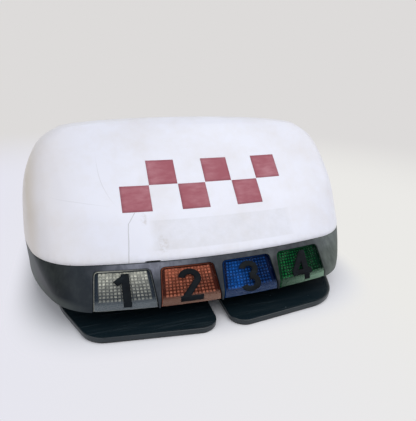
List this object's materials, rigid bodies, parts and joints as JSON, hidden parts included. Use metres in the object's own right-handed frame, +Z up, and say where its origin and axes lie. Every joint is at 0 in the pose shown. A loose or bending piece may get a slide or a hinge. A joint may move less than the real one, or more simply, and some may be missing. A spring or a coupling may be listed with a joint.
{
  "type": "taxi roof sign",
  "caption": "Free-standing taxi roof sign: an opal dome on a flared black skirt with coloured prismatic tariff lenses, on black foot plates.",
  "frame": {"origin": "centre of the sign on the surface it stands on, level with the undersides of the foot pads", "axes": "+X along the sign to the right as seen from the front, -Y towards the front, +Z up"},
  "size_m": [0.4498, 0.4044, 0.2115],
  "materials": {
    "opal_acrylic": "opal white acrylic, soft gloss, fine scratches",
    "gasket_rubber": "black rubber, dull",
    "skirt_plastic": "black moulded plastic, dull, scuffed grey",
    "floor_plastic": "black moulded plastic, dull",
    "gland_plastic": "black nylon, satin",
    "reflector_plastic": "white plastic, satin",
    "lens_clear": "clear prismatic acrylic, gloss",
    "lens_orange": "orange prismatic acrylic, gloss",
    "lens_blue": "blue prismatic acrylic, gloss",
    "lens_green": "green prismatic acrylic, gloss",
    "foot_plastic": "black plastic sheet, gloss",
    "foot_rubber": "black rubber sheet, dull",
    "riser_steel": "folded steel, black paint, satin",
    "band_film": "dark red self-adhesive film, satin",
    "number_film": "black self-adhesive film, satin"
  },
  "bodies": {
    "root": {"dome": "opal_acrylic", "seam_gasket": "gasket_rubber", "skirt": "skirt_plastic", "base_pan": "floor_plastic", "cable_gland": "gland_plastic", "reflector_front": "reflector_plastic", "reflector_rear": "reflector_plastic", "foot_plate_left": "foot_plastic", "foot_plate_right": "foot_plastic", "foot_pad_left": "foot_rubber", "foot_pad_right": "foot_rubber", "riser_left": "riser_steel", "riser_right": "riser_steel", "lens_clear_front": "lens_clear", "lens_clear_rear": "lens_clear", "lens_orange_front": "lens_orange", "lens_orange_rear": "lens_orange", "lens_blue_front": "lens_blue", "lens_blue_rear": "lens_blue", "lens_green_front": "lens_green", "lens_green_rear": "lens_green"}
  },
  "joints": []
}
